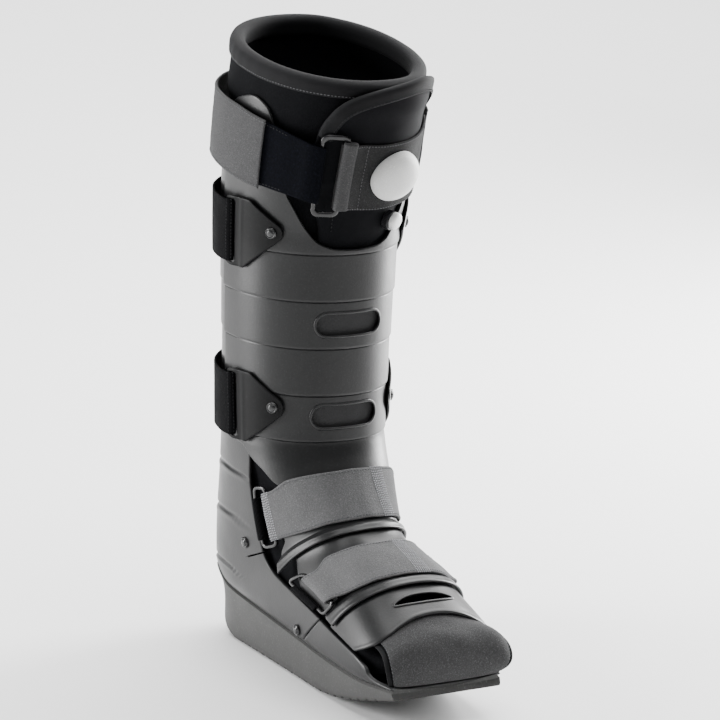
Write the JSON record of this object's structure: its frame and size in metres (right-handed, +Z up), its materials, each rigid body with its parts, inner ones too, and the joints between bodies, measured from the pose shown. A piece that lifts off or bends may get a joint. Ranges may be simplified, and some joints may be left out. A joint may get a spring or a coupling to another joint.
{
  "type": "medical walking boot",
  "caption": "Tall rigid walking boot with a padded liner, a split shell, straps, an air pump and a rocker sole, standing empty.",
  "frame": {"origin": "on the sole's flat underside, in the boot's middle plane, under the front of the shaft", "axes": "-Y towards the toes, +Z up, -X on the wearer's right"},
  "size_m": [0.1608, 0.2984, 0.475],
  "materials": {
    "shell": "fine matt texture",
    "sole": "matt",
    "liner_cloth": "knitted loop cloth over foam",
    "binding_cloth": "woven tape",
    "grey_strap": "loop pile webbing",
    "black_strap": "woven webbing",
    "bracket": "satin",
    "rivet": "satin",
    "ring": "satin",
    "bulb": "satin",
    "valve": "satin",
    "valve_cap": "gloss"
  },
  "bodies": {
    "boot": {"rear_shell": "shell", "outsole": "sole", "front_shell": "shell", "instep_plate": "shell", "midfoot_plate": "shell", "toe_plate": "shell", "liner": "liner_cloth", "collar_binding": "binding_cloth", "liner_flap": "liner_cloth", "flap_binding": "binding_cloth", "toe_cover": "liner_cloth", "top_strap_black": "black_strap", "top_strap_grey": "grey_strap", "front_pad": "grey_strap", "top_ring": "ring", "pump_bulb": "bulb", "ankle_strap": "grey_strap", "forefoot_strap": "grey_strap", "toe_binding_right": "binding_cloth", "bracket_upper_right": "bracket", "bracket_rivet_upper_right": "rivet", "bracket_lower_right": "bracket", "bracket_rivet_lower_right": "rivet", "flap_rivet_rear_right": "rivet", "flap_rivet_front_right": "rivet", "ankle_ring_right": "ring", "ankle_chape_right": "black_strap", "forefoot_ring_right": "ring", "forefoot_chape_right": "black_strap", "toe_binding_left": "binding_cloth", "bracket_upper_left": "bracket", "bracket_rivet_upper_left": "rivet", "bracket_lower_left": "bracket", "bracket_rivet_lower_left": "rivet", "flap_rivet_rear_left": "rivet", "flap_rivet_front_left": "rivet", "ankle_ring_left": "ring", "ankle_chape_left": "black_strap", "forefoot_ring_left": "ring", "forefoot_chape_left": "black_strap", "calf_strap_upper": "black_strap", "calf_strap_lower": "black_strap"},
    "valve": {"valve_body": "valve", "valve_cap": "valve_cap"}
  },
  "joints": [
    {"name": "valve_twist", "type": "hinge", "parent": "boot", "child": "valve", "pos_m": [0.03011, 0.01176, 0.33931], "axis": [0.4246, -0.8875, -0.1788], "range_deg": [0, 90]}
  ]
}
